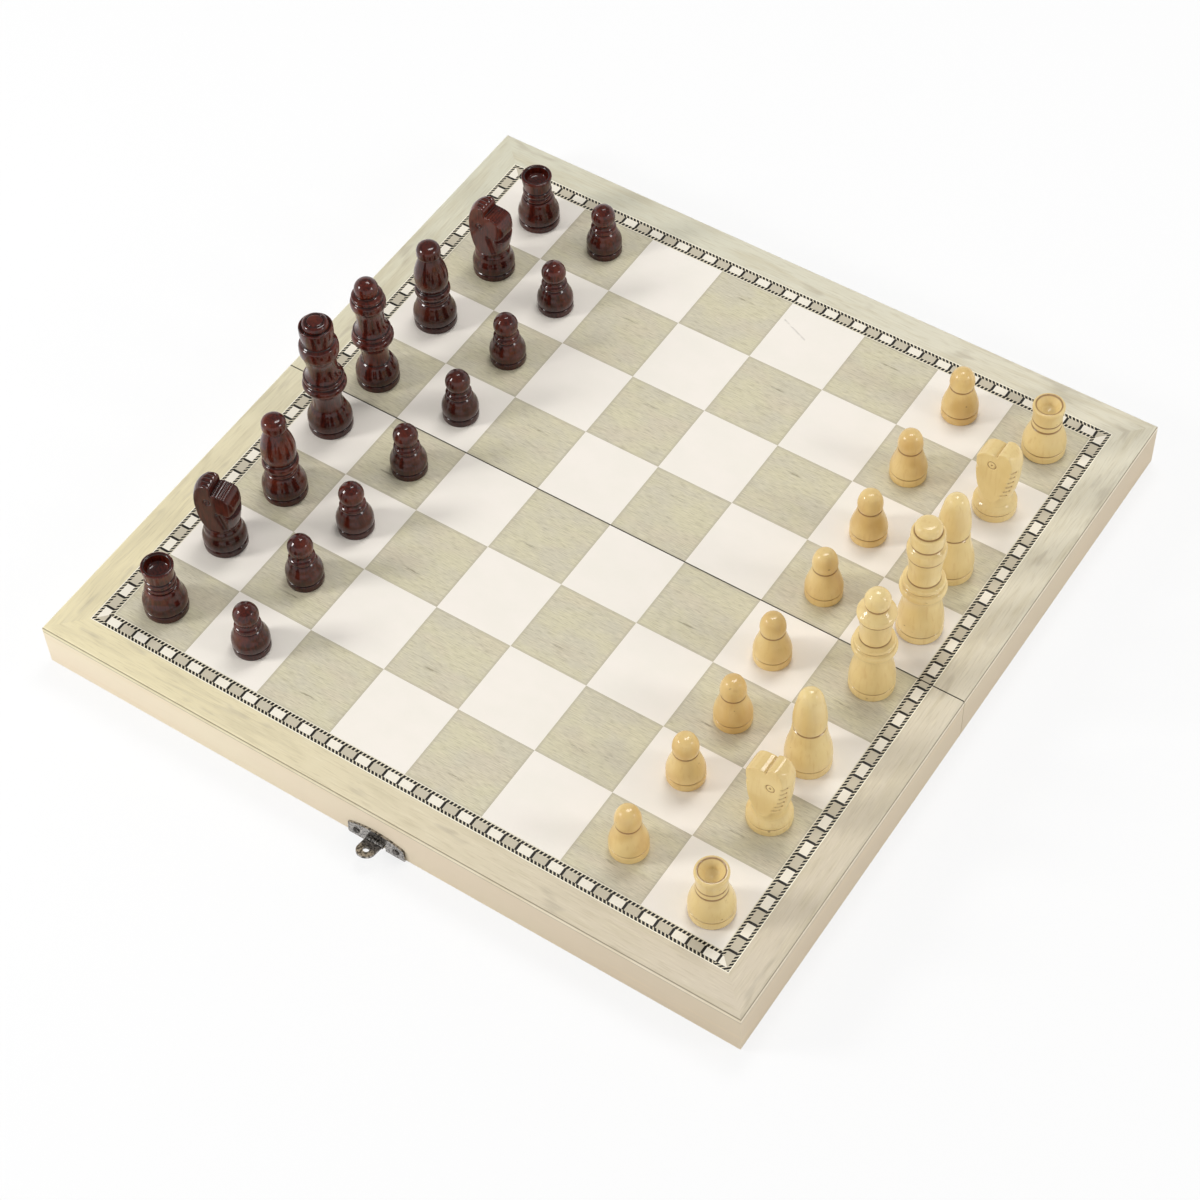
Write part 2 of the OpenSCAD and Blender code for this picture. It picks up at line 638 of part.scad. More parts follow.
module dark_knight(eye) {
    knight(dark_knight_blank, dark_head_line, 12.4, knight_r, knight_h) {
        union() {
            eye_ring(eye, 1.2);
            jaw_and_throat();
        }
        crest_strands();
        forehead_marks();
    }
}

module light_knight(eye) {
    knight(light_knight_blank, light_head_line, flank_low[1], knight_r, knight_h) union() {
        eye_ring(eye, 1.6);
        mane_scallops();
    }
}

// Where each knight's eye sits on its flank: the near one first, then the far one
DARK_EYES = [[-1.6, 26.8], [-2.2, 25.4]];
LIGHT_EYES = [[-2.5, 25.2], [0.9, 27.3]];

// ---- Each man by its name ----

function kind_of(n) = n[len(n) - 2] == "_" ? "pawn"
    : n[len(n) - 1] == "k" ? "rook" : n[len(n) - 1] == "t" ? "knight"
    : n[len(n) - 1] == "p" ? "bishop" : n[len(n) - 1] == "g" ? "king" : "queen";

module dark_man(kind, wing) {
    if (kind == "pawn") turned(dark_pawn_line, pawn_r, pawn_h);
    if (kind == "rook") turned(dark_rook_line, rook_r, rook_h);
    if (kind == "knight") dark_knight(DARK_EYES[wing]);
    if (kind == "bishop") turned(dark_bishop_line, bishop_r, bishop_h);
    if (kind == "queen") turned(dark_queen_line, queen_r, dark_queen_h);
    if (kind == "king") turned(dark_king_line, king_r, dark_king_h);
}

module light_man(kind, wing) {
    if (kind == "pawn") turned(light_pawn_line, pawn_r, pawn_h);
    if (kind == "rook") turned(light_rook_line, rook_r, rook_h);
    if (kind == "knight") light_knight(LIGHT_EYES[wing]);
    if (kind == "bishop") turned(light_bishop_line, bishop_r, bishop_h);
    if (kind == "queen") turned(light_queen_line, queen_r, light_queen_h);
    if (kind == "king") turned(light_king_line, king_r, light_king_h);
}

// How far each man was set down from the middle of its square, towards the light men and
// towards the far edge, with the turn of the knights: the back row first, then the pawns
DARK_SHIFT = [
    [-2.1, -3.0], [-2.2, -0.3, 12], [1.7, -1.7], [-3.3, 1.0],
    [-1.7, -3.1], [-0.5, 0.7], [3.2, 2.9], [3.6, 1.6],
    [2.5, -0.5], [0.5, 1.6], [1.7, -1.5], [2.3, -1.0],
    [3.4, -1.5], [2.5, -0.9], [2.9, -1.2], [2.6, 1.5]
];
LIGHT_SHIFT = [
    [4.6, -4.5], [1.9, 4.2], [1.1, -1.3], [3.2, 5.8],
    [5.1, 3.8], [1.6, 0], [1.3, 1.2], [3.4, 2.7],
    [0.6, 0.9], [1.3, 3.2], [2.4, -0.3], [0.1, -2.6],
    [1.1, -1.2], [1.1, -1.8], [-0.6, -2.1], [0.9, 1.5]
];

// Stands a man on its square: rank counts from the middle of the board, file from the near edge
module on_square(rank, file, shift) {
    turn = len(shift) > 2 ? shift[2] : 0;
    translate([rank * square_w + shift[0], (file - 3.5) * square_w + shift[1], tray_h])
        rotate([0, 0, turn]) children();
}

module set_of_men(side) {
    dark = side == "dark";
    names = man_names(side);
    for (i = [0:15]) union() {
        rank = i < 8 ? 3.5 : 2.5;
        wing = i % 8 > 3 ? 1 : 0;
        if (dark) color(dark_wood) on_square(-rank, i % 8, DARK_SHIFT[i]) dark_man(kind_of(names[i]), wing);
        else color(light_wood)
            on_square(rank, i % 8, LIGHT_SHIFT[i]) rotate([0, 0, 180]) light_man(kind_of(names[i]), wing);
    }
}

// ---- Named pieces ----

module near_panel() { color(panel_wood) half_panel(); }
module near_outer_wall() { color(wall_wood) outer_wall(); }
module near_fold_wall() { color(wall_wood) fold_wall(); }
module near_left_wall() { color(wall_wood) side_wall(); }
module near_right_wall() { color(wall_wood) mirror([1, 0, 0]) side_wall(); }
module far_panel() { other_half() near_panel(); }
module far_outer_wall() { other_half() near_outer_wall(); }
module far_fold_wall() { other_half() near_fold_wall(); }
module far_left_wall() { other_half() near_left_wall(); }
module far_right_wall() { other_half() near_right_wall(); }
module left_hinge_near_leaf() { color(nickel) translate([-hinge_x, 0, 0]) leaf([0, 2]); }
module left_hinge_far_leaf() { color(nickel) translate([-hinge_x, 0, 0]) other_half() leaf([1]); }
module left_hinge_pin() { color(steel) translate([-hinge_x, 0, 0]) hinge_pin(); }
module right_hinge_near_leaf() { translate([2 * hinge_x, 0, 0]) left_hinge_near_leaf(); }
module right_hinge_far_leaf() { translate([2 * hinge_x, 0, 0]) left_hinge_far_leaf(); }
module right_hinge_pin() { translate([2 * hinge_x, 0, 0]) left_hinge_pin(); }
module near_hinge_screws() { color(steel) hinge_screws(); }
module far_hinge_screws() { other_half() near_hinge_screws(); }

near_panel();
near_outer_wall();
near_fold_wall();
near_left_wall();
near_right_wall();
far_panel();
far_outer_wall();
far_fold_wall();
far_left_wall();
far_right_wall();
left_hinge_near_leaf();
left_hinge_far_leaf();
left_hinge_pin();
right_hinge_near_leaf();
right_hinge_far_leaf();
right_hinge_pin();
near_hinge_screws();
far_hinge_screws();
clasp_plate();
hasp();
clasp_pin();
clasp_nails();
catch_plate();
catch_nails();
for (side = SIDES) set_of_men(side);
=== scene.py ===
# A folding wooden board box, opened flat, with its men set out on it: finishes, lamps and camera.

import math

import bmesh
import bpy
from mathutils import Matrix, Vector


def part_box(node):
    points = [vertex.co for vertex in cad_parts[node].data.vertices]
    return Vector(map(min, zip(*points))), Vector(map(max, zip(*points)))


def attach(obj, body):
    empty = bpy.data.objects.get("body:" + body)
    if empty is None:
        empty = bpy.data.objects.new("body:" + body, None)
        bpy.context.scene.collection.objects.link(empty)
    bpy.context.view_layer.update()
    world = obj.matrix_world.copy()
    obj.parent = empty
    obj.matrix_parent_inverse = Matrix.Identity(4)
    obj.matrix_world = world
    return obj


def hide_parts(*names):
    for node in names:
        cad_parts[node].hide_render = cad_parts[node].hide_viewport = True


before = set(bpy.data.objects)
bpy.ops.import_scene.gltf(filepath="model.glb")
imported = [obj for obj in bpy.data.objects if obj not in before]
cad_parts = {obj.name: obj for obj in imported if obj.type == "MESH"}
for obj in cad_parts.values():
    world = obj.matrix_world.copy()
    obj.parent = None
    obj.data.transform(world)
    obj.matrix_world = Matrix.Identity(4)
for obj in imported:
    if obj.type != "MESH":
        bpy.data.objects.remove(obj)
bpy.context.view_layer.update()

bl_info = {
    "name": "Folding Board Box",
    "version": (1, 0, 0),
    "blender": (4, 5, 0),
    "location": "View3D > Sidebar > Board Box",
    "description": "Dresses the folding board box and its turned men",
    "category": "Object",
}

MM = 0.001
PANEL_LOW, PANEL_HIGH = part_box("near_panel")
WALL_TOP = PANEL_LOW.z
BOARD_TOP = PANEL_HIGH.z
BOARD_WIDTH = PANEL_HIGH.x - PANEL_LOW.x

MEN = {
    side: [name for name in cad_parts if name.startswith(side + "_")]
    for side in ("dark", "light")
}
KNIGHTS = [name for side in MEN for name in MEN[side] if name.endswith("knight")]
WALLS_ALONG_X = ["near_outer_wall", "near_fold_wall", "far_outer_wall", "far_fold_wall"]
WALLS_ALONG_Y = ["near_left_wall", "near_right_wall", "far_left_wall", "far_right_wall"]
PLATED = [
    "left_hinge_near_leaf", "left_hinge_far_leaf", "right_hinge_near_leaf",
    "right_hinge_far_leaf", "clasp_plate", "catch_plate", "hasp",
]
FASTENERS = [
    "left_hinge_pin", "right_hinge_pin", "near_hinge_screws", "far_hinge_screws",
    "clasp_pin", "clasp_nails", "catch_nails",
]
# Squares from the middle of the board to the edge of its playing field
HALF_FIELD = 4
# Squares over which the tone of the veneer and of the bare edges changes
TONE_SPAN = 9
# Squares from the middle of the board to the ends of the inlay inside, and its points on a side
INLAY_REACH = 4.3
INLAY_POINTS = 12
# Strands of the border's rope lines to one cell
STRANDS = 4
# Shares of the border's width at which its inner and outer rope lines meet the cells
ROPE_INNER, ROPE_OUTER = 0.23, 0.78
# Depth in mm to which the print runs over the panel's edge, and to which the fold's edge carries
# painted shade of the gap between the halves
PRINT_EDGE = 0.25
FOLD_SHADE_DEPTH = 0.5

# A turned profile that bends more than this has a crease there
CREASE = math.radians(40)
# A hollow bend of more than this gets painted shade in the varnish colour, as far as the reach from
# it
GROOVE = math.radians(25)
GROOVE_REACH = 0.8 * MM
# A point of a knight this share of its finest cut below its neighbours lies in a full groove and
# gets the full painted shade
FULL_CUT = 0.08
# Points closer than these are one: on a man's node, on its cut section, on a spun or carved mesh
NODE_WELD = 0.004 * MM
SECTION_WELD = 0.01 * MM
MESH_WELD = 0.002 * MM

# Each softbox: its name, its place, the way of its long side, and its two sides
SOFTBOXES = [
    ("left", (-0.79, -0.68, 0.59), (0, 0, 1), (0.27, 0.27)),
    ("over", (-0.10, 0.41, 1.12), (0.6, 0.8, 0), (0.46, 0.26)),
    ("right", (1.03, 0.20, 0.58), (0, 0, 1), (0.28, 0.28)),
]
FLOOR_REACH = 3.0
FLOOR_GAP = 0.2 * MM
# How much of the white behind the floor shows through it
SEE_THROUGH = 0.8
# Place of the camera, and its turn as an axis whose length is the angle
CAMERA_PLACE = Vector((0.36689, -0.51558, 0.82395))
CAMERA_TURN = Vector((2.42022765, 0.713783803, -0.279098731))
SENSOR_WIDTH = 36.0


def linear(red, green, blue):
    """A colour given as it looks on a screen, 0 to 255, as Blender's linear values."""
    parts = []
    for level in (red, green, blue):
        level /= 255
        parts.append(level / 12.92 if level < 0.04045 else ((level + 0.055) / 1.055) ** 2.4)
    return (*parts, 1.0)


# ---- Shader maths ----


class Shade:
    """A number that changes over a surface; arithmetic on it adds Math nodes."""

    def __init__(self, nodes, socket):
        self.nodes = nodes
        self.socket = socket

    def math(self, operation, *others):
        return self.nodes.math(operation, self, *others)

    def __add__(self, other):
        return self.math("ADD", other)

    def __sub__(self, other):
        return self.math("SUBTRACT", other)

    def __rsub__(self, other):
        return self.nodes.math("SUBTRACT", other, self)

    def __mul__(self, other):
        return self.math("MULTIPLY", other)

    def __truediv__(self, other):
        return self.math("DIVIDE", other)

    def __gt__(self, other):
        return self.math("GREATER_THAN", other)

    def __lt__(self, other):
        return self.math("LESS_THAN", other)

    def __or__(self, other):
        """The greater of the two."""
        return self.math("MAXIMUM", other)

    def __abs__(self):
        return self.math("ABSOLUTE")

    __radd__ = __add__
    __rmul__ = __mul__

    def wrap(self):
        return self.math("FRACT")

    def floor(self):
        return self.math("FLOOR")

    def odd(self):
        """1 on odd whole numbers, 0 on even ones."""
        return self.math("FLOORED_MODULO", 2)

    def between(self, low, high):
        """1 from low to high, 0 elsewhere."""
        return (self > low) * (self < high)

    def rise(self, low, high):
        """0 up to low, 1 from high on, smooth between."""
        node = self.nodes.node(
            "ShaderNodeMapRange", {"interpolation_type": "SMOOTHSTEP"},
            Value=self, **{"From Min": low, "From Max": high},
        )
        return Shade(self.nodes, node.outputs["Result"])

    def near(self, place, half_width, fade):
        """1 within half_width of place, falling to 0 over the fade beyond it."""
        return 1 - abs(self - place).rise(half_width, half_width + fade)


class Nodes:
    """The nodes of a material or a world."""

    def __init__(self, tree):
        self.tree = tree

    def node(self, kind, settings=None, **sockets):
        """Adds a node, sets its own settings, then the values or links of its sockets."""
        node = self.tree.nodes.new(kind)
        for name, value in (settings or {}).items():
            setattr(node, name, value)
        for name, value in sockets.items():
            self.feed(node.inputs[name], value)
        return node

    def feed(self, socket, value):
        value = getattr(value, "socket", value)
        if isinstance(value, bpy.types.NodeSocket):
            self.tree.links.new(value, socket)
        else:
            socket.default_value = value

    def math(self, operation, *values):
        node = self.node("ShaderNodeMath", {"operation": operation})
        for socket, value in zip(node.inputs, values):
            self.feed(socket, value)
        return Shade(self, node.outputs["Value"])

    def split(self, vector):
        """The X, Y and Z of a vector."""
        node = self.node("ShaderNodeSeparateXYZ", Vector=vector)
        return [Shade(self, socket) for socket in node.outputs]


class Finish(Nodes):
    """A material whose looks are written as expressions on the Object coordinates."""

    def __init__(self, name, roughness=0.5, **constants):
        self.material = bpy.data.materials.new(name)
        self.material.use_nodes = True
        super().__init__(self.material.node_tree)
        self.surface = self.tree.nodes["Principled BSDF"]
        self.surface.inputs["Roughness"].default_value = roughness
        for socket, value in constants.items():
            self.surface.inputs[socket.replace("_", " ")].default_value = value

    def place(self, unit):
        """The three Object coordinates, counted in the given unit of metres."""
        where = self.node("ShaderNodeTexCoord").outputs["Object"]
        return [axis / unit for axis in self.split(where)]

    def noise(self, x, y, z, detail=3.0, distortion=0.0):
        where = self.node("ShaderNodeCombineXYZ", X=x, Y=y, Z=z).outputs["Vector"]
        node = self.node(
            "ShaderNodeTexNoise", Vector=where, Scale=1.0,
            Detail=detail, Roughness=0.55, Distortion=distortion,
        )
        return Shade(self, node.outputs["Fac"])

    def groove(self):
        """Mask of the painted groove shade: 1 in the grooves that the mesh has marked, 0 away from
        them.
        """
        node = self.node("ShaderNodeAttribute", {"attribute_name": "groove"})
        return Shade(self, node.outputs["Fac"])

    def mix(self, amount, first, second):
        """Colour that goes from first to second as amount goes from 0 to 1."""
        node = self.node("ShaderNodeMix", {"data_type": "RGBA"})
        for index, value in ((0, amount), (6, first), (7, second)):
            self.feed(node.inputs[index], value)
        return node.outputs[2]

    def bump(self, height, strength, distance):
        node = self.node("ShaderNodeBump", Height=height, Strength=strength, Distance=distance)
        self.feed(self.surface.inputs["Normal"], node.outputs["Normal"])

    def paint(self, colour, roughness):
        self.feed(self.surface.inputs["Base Color"], colour)
        self.feed(self.surface.inputs["Roughness"], roughness)
        return self.material


# ---- Finishes of the box ----


def playing_field(finish, x, y):
    """Cream squares, and grey-brown ones with a streaked print and a short dark mark in it."""
    in_x, in_y = x.wrap(), y.wrap()
    cloud = finish.noise(x * 1.9, y * 2.7, 7.0)
    blush = finish.noise(x * 1.1, y * 2.2, 11.0, detail=2)
    streaks = finish.noise(x * 2.6, y * 27, 0.0, detail=4)
    fine = finish.noise(x * 9, y * 90, 3.0, detail=2)
    ragged = finish.noise(x * 9, y * 50, 1.0, detail=2)
    spot = finish.noise(x.floor() * 1.7, y.floor() * 2.3, 0.5, detail=0)
    dark = finish.mix(cloud.rise(0.35, 0.65), linear(207, 200, 178), linear(213, 206, 176))
    dark = finish.mix(blush.rise(0.5, 0.68) * 0.5, dark, linear(212, 200, 177))
    dark = finish.mix(streaks.rise(0.5, 0.72) * 0.36, dark, linear(178, 168, 142))
    dark = finish.mix(fine.rise(0.5, 0.7) * 0.42, dark, linear(234, 225, 200))
    dark = finish.mix(fine.rise(0.48, 0.3) * 0.42, dark, linear(160, 150, 124))
    across_mark = (in_y - (0.27 + 0.46 * (y > 0))).near(0.0, 0.004, 0.014)
    along_mark = (in_x - (0.2 + 0.5 * spot)).near(0.0, 0.04, 0.12)
    mark = along_mark * across_mark * ragged.rise(0.36, 0.58)
    dark = finish.mix(mark * 0.6, dark, linear(116, 104, 78))
    rim = (abs(in_x - 0.5) | abs(in_y - 0.5)).rise(0.455, 0.5)
    dark = finish.mix(rim * 0.4, dark, linear(172, 163, 144))
    cream = finish.mix(cloud.rise(0.3, 0.7), linear(247, 240, 230), linear(244, 238, 227))
    scuff = y.near(3.72 - (x - 0.05) * 0.42, 0.003, 0.016) * x.between(0.05, 0.43)
    cream = finish.mix(scuff * ragged.rise(0.3, 0.6) * 0.45, cream, linear(176, 172, 164))
    relief = streaks + fine * 0.4
    return finish.mix((x.floor() + y.floor()).odd(), dark, cream), relief


def inlaid_border(finish, settings, x, y, width):
    """Cream and grey cells between black bars, edged on both sides with a slanted rope."""
    across, along = abs(x), abs(y)
    on_side = across > HALF_FIELD
    side_pitch = (2 * HALF_FIELD + 1.6 * settings.border) / settings.cells
    end_pitch = (2 * HALF_FIELD + 0.22 * settings.border) / (settings.cells - 1)
    pitch = on_side * side_pitch + (1 - on_side) * end_pitch
    run = along * on_side + across * (1 - on_side)
    count = run / pitch + on_side * 0.5
    corner = on_side * (count > settings.cells // 2)
    bar = (count + 0.5).wrap().near(0.5, 0.07, 0.02) * (1 - on_side * (along > HALF_FIELD))
    corner_bar = across.near(HALF_FIELD + 0.015, 0.013, 0.004) * (along > HALF_FIELD + 0.036)
    bar = bar | on_side * corner_bar
    outside = across > along
    grey = (count.floor() + on_side).odd() * (1 - corner)
    near_right = (x > 0) * (y < 0)
    mitred = outside * near_right + (1 - outside) * (1 - near_right)
    grey = grey + corner * mitred
    cells = finish.mix(grey, linear(243, 236, 220), linear(200, 191, 170))
    cells = finish.mix(bar, cells, linear(28, 23, 15))
    outer = width > 0.5
    lean = (1 - on_side) * (outer * 0.9 - 0.3) - on_side * 0.9
    lengthwise = y * on_side + x * (1 - on_side)
    crosswise = x * on_side + y * (1 - on_side)
    twist = (lengthwise + crosswise * lean) * STRANDS / pitch
    strand = twist.wrap().near(0.5, 0.3, 0.08)
    rope = finish.mix(strand, linear(228, 218, 192), linear(20, 16, 9))
    strip = finish.mix(width.between(ROPE_INNER, ROPE_OUTER), rope, cells)
    pale = finish.mix(outer, linear(230, 223, 202), linear(250, 244, 224))
    return finish.mix(width.between(0.02, 0.985), pale, strip)


def veneer_margin(finish, x, y):
    """Pale veneer print with its grain along each edge, yellower near left and greyer elsewhere."""
    on_side = abs(x) > abs(y)
    run = y * on_side + x * (1 - on_side)
    cross = x * on_side + y * (1 - on_side)
    rightward, farward = ((axis / TONE_SPAN).rise(-0.5, 0.5) for axis in (x, y))
    near = finish.mix(rightward, linear(233, 221, 182), linear(216, 204, 182))
    far = finish.mix(rightward, linear(216, 213, 192), linear(226, 220, 199))
    veneer = finish.mix(farward, near, far)
    waves = finish.noise(run * 0.9, cross * 8, on_side * 5, distortion=0.6)
    pores = finish.noise(run * 4, cross * 55, 2.0)
    smudge = finish.noise(run * 1.6, cross * 5, 9.0, detail=2)
    veneer = finish.mix(waves.rise(0.42, 0.72) * 0.45, veneer, linear(200, 189, 158))
    veneer = finish.mix(smudge.rise(0.58, 0.72) * 0.45, veneer, linear(180, 170, 150))
    veneer = finish.mix(pores.rise(0.5, 0.72) * 0.32, veneer, linear(180, 167, 136))
    return finish.mix(pores.rise(0.46, 0.26) * 0.3, veneer, linear(242, 233, 206)), pores


def points_inside(finish, x, y):
    """Long inlaid points on the panel's underside, a second playing surface inside the box."""
    along = abs(y)
    point = (x + INLAY_REACH) * (INLAY_POINTS / (2 * INLAY_REACH))
    span = (along - 0.25) / 4.1
    slope = abs(point.wrap() - 0.5) * 2
    from_outer = (slope < (span - 0.56) * 2.2) * (span < 0.985)
    from_fold = (slope < (0.44 - span) * 2.2) * (span > 0.02)
    points = (from_outer | from_fold) * (abs(x) < INLAY_REACH)
    brown = (point.floor() + (span > 0.5)).odd()
    inlay = finish.mix(brown, linear(232, 222, 196), linear(120, 72, 44))
    streaks = finish.noise(x * 2.6, y * 27, 4.0, detail=4)
    plain = finish.mix(streaks.rise(0.3, 0.7), linear(214, 190, 152), linear(226, 205, 170))
    return finish.mix(points, plain, inlay)


def printed_panel(settings):
    """Printed veneer over a wooden panel: field, border and margins, with bare wood at the edge."""
    finish = Finish("veneer_print", Specular_IOR_Level=0.3)
    x, y, z = finish.place(settings.square)
    width = ((abs(x) | abs(y)) - HALF_FIELD) / settings.border
    field, relief = playing_field(finish, x, y)
    veneer, pores = veneer_margin(finish, x, y)
    top = finish.mix(width > -0.045, field, inlaid_border(finish, settings, x, y, width))
    top = finish.mix(width > 1.045, top, veneer)

    height = z * (settings.square / MM) - WALL_TOP / MM
    thick = (BOARD_TOP - WALL_TOP) / MM
    rightward = (x / TONE_SPAN).rise(-0.5, 0.5)
    bare = finish.mix(rightward, linear(222, 212, 176), linear(228, 216, 194))
    bare = finish.mix(relief.rise(0.6, 0.9) * 0.3, bare, linear(200, 184, 150))
    bare = finish.mix(height.near(thick - 0.42, 0.12, 0.26) * 0.7, bare, linear(112, 99, 72))
    bare = finish.mix(height.near(0.0, 0.18, 0.3) * 0.7, bare, linear(116, 101, 77))
    body = finish.mix(height > 0.02, points_inside(finish, x, y), bare)
    colour = finish.mix(height > thick - PRINT_EDGE, body, top)
    # Painted shade of the narrow gap between the two halves, dark along the top of each fold edge
    from_fold = abs(y) * (settings.square / MM)
    fold_gap_shade = (1 - from_fold.rise(0.14, 0.34)) * (height > thick - FOLD_SHADE_DEPTH)
    colour = finish.mix(fold_gap_shade * 0.85, colour, linear(44, 37, 28))
    finish.bump(relief + pores * 0.4, 0.12, 0.0001)
    return finish.paint(colour, 0.42 + 0.1 * relief)


def raw_wall(name, along_fold):
    """Sanded bare softwood, its grain along the wall, greyer and deeper towards the light men,
    partly in its own tone and partly as painted shade of light falling off from the left.
    """
    finish = Finish(name, Specular_IOR_Level=0.25)
    x, y, z = finish.place(MM)
    rightward = (x / (BOARD_WIDTH / MM)).rise(-0.35, 0.5)
    run, cross = (x, y) if along_fold else (y, x)
    ring = finish.noise(run * 0.006, cross * 0.12, z * 0.22, distortion=1.2)
    fibre = finish.noise(run * 0.05, cross * 1.8, z * 2.6, detail=4)
    patch = finish.noise(run * 0.012, cross * 0.02, z * 0.03, detail=1)
    wood = finish.mix(patch.rise(0.35, 0.65), linear(228, 216, 190), linear(228, 213, 189))
    # Darker towards +X: partly the wood's tone, partly painted shade of the left light falling off
    wood = finish.mix(rightward * 0.75, wood, linear(199, 184, 160))
    wood = finish.mix(ring.rise(0.5, 0.75) * 0.5, wood, linear(222, 202, 170))
    wood = finish.mix(fibre.rise(0.55, 0.8) * 0.35, wood, linear(204, 182, 148))
    wood = finish.mix(fibre.rise(0.42, 0.2) * 0.3, wood, linear(240, 229, 208))
    finish.bump(fibre, 0.25, 0.00012)
    return finish.paint(wood, 0.62 + 0.14 * fibre)


def plated_metal(name, colour, roughness):
    """Bright metal with fine rolling marks, and patches of painted dark reflection on it that are
    also a little rougher.
    """
    finish = Finish(name, Metallic=1.0)
    x, y, z = finish.place(MM)
    rolled = finish.noise(x * 0.6, y * 9, z * 9)
    reflection_patches = finish.noise(x * 1.2, y * 1.2, z * 1.2, detail=2)
    dark_reflection = [level * 0.36 for level in colour]
    # Painted reflection: dark patches that stand in for a darker room mirrored in the metal
    tone = finish.mix(reflection_patches.rise(0.44, 0.58) * 0.85, linear(*colour), linear(*dark_reflection))
    finish.bump(rolled, 0.08, 0.00005)
    return finish.paint(tone, roughness + 0.14 * rolled + 0.1 * reflection_patches)


# ---- Finishes of the men ----


def dark_varnish(name, settings):
    """Reddish-brown stained wood under a glossy varnish, with painted shade in the grooves and
    towards the foot, where the stain is also a little deeper.
    """
    finish = Finish(name, Coat_Weight=0.8, Coat_Roughness=0.08, Specular_IOR_Level=0.08)
    x, y, z = finish.place(MM)
    fibre = finish.noise(x * 1.1, y * 1.1, z * 0.1, detail=4, distortion=0.4)
    stain = finish.noise(x * 0.12, y * 0.12, z * 0.12, detail=2)
    piece = finish.noise(x * 0.03, y * 0.03, 0.0, detail=0)
    height = z - BOARD_TOP / MM
    wood = finish.mix(fibre.rise(0.3, 0.7), linear(42, 9, 5), linear(*settings.dark_stain))
    wood = finish.mix(stain.rise(0.45, 0.75) * 0.5, wood, linear(112, 44, 20))
    wood = finish.mix(piece.rise(0.45, 0.7) * 0.4, wood, linear(38, 12, 8))
    # Darker towards the foot: partly a deeper stain, partly painted shade of the dim reflections
    # low down
    wood = finish.mix((1 - height.rise(2.0, 16.0)) * 0.5, wood, linear(30, 7, 5))
    # Painted shade, near black, in the grooves of the turned and carved men
    wood = finish.mix(finish.groove().rise(0.2, 0.9) * 0.75, wood, linear(16, 4, 3))
    finish.bump(fibre, 0.08, 0.0001)
    return finish.paint(wood, 0.34 + 0.12 * stain)


def light_varnish(name, tone, shade):
    """Pale wood under a thin clear varnish, with streaks, a few small knots and brown painted shade
    in the grooves.
    """
    finish = Finish(name, Coat_Weight=0.6, Coat_Roughness=0.1, Specular_IOR_Level=0.2)
    x, y, z = finish.place(MM)
    fibre = finish.noise(x * 0.9, y * 0.9, z * 0.07, detail=4, distortion=0.5)
    cloud = finish.noise(x * 0.07, y * 0.07, z * 0.07, detail=2)
    knot = finish.noise(x * 0.32, y * 0.32, z * 0.45, detail=1)
    wood = finish.mix(cloud.rise(0.35, 0.65), linear(*tone), linear(*shade))
    wood = finish.mix(fibre.rise(0.5, 0.75) * 0.3, wood, linear(206, 164, 104))
    wood = finish.mix(knot.rise(0.76, 0.8) * 0.5, wood, linear(120, 78, 40))
    # Painted shade, brown, in the grooves of the turned and carved men
    wood = finish.mix(finish.groove().rise(0.15, 0.9) * 0.8, wood, linear(122, 74, 34))
    finish.bump(fibre, 0.08, 0.0001)
    return finish.paint(wood, 0.4 + 0.12 * fibre)


# ---- Pieces ----


def dress(names, material):
    for name in names:
        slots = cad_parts[name].data.materials
        slots.clear()
        slots.append(material)


def piece_from(mesh_data, name, node, body, slot, material):
    """A finished piece at the origin that stands for a CAD node."""
    piece = bpy.data.objects.new(name, mesh_data)
    bpy.context.collection.objects.link(piece)
    mesh_data.materials.clear()
    mesh_data.materials.append(material)
    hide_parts(node)
    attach(piece, body)
    return piece


def bend(vert):
    """Angle by which a line turns at one of its points."""
    before, after = (edge.other_vert(vert).co - vert.co for edge in vert.link_edges)
    return math.pi - before.angle(after)


def ease(mesh, sharpest):
    """Draws a line's inner points towards their neighbours, where it bends less than sharpest."""
    inner = [vert for vert in mesh.verts if len(vert.link_edges) == 2]
    eased = [vert for vert in inner if bend(vert) < sharpest]
    bmesh.ops.smooth_vert(
        mesh, verts=eased, factor=0.5, use_axis_x=True, use_axis_y=False, use_axis_z=True
    )


def soften_profile(mesh, rounds):
    """Rounds a line of short edges into curves, and leaves its creases only just eased."""
    for _ in range(rounds):
        bmesh.ops.subdivide_edges(mesh, edges=mesh.edges[:], cuts=1)
        ease(mesh, CREASE)
    ease(mesh, math.pi)


def hollows(mesh):
    """The points where a profile bends inwards in a groove."""
    places = []
    for vert in mesh.verts:
        if len(vert.link_edges) == 2 and bend(vert) > GROOVE:
            before, after = (edge.other_vert(vert).co for edge in vert.link_edges)
            if (before.x + after.x) / 2 > vert.co.x:
                places.append(vert.co.copy())
    return places


def mark_grooves(mesh, places):
    """Stores how near each point lies to a groove, as the mask of the painted shade in the varnish
    colour.
    """
    groove = mesh.verts.layers.float.new("groove")
    for vert in mesh.verts:
        gaps = [(vert.co - place).length for place in places]
        vert[groove] = max(0.0, 1 - min(gaps, default=GROOVE_REACH) / GROOVE_REACH)


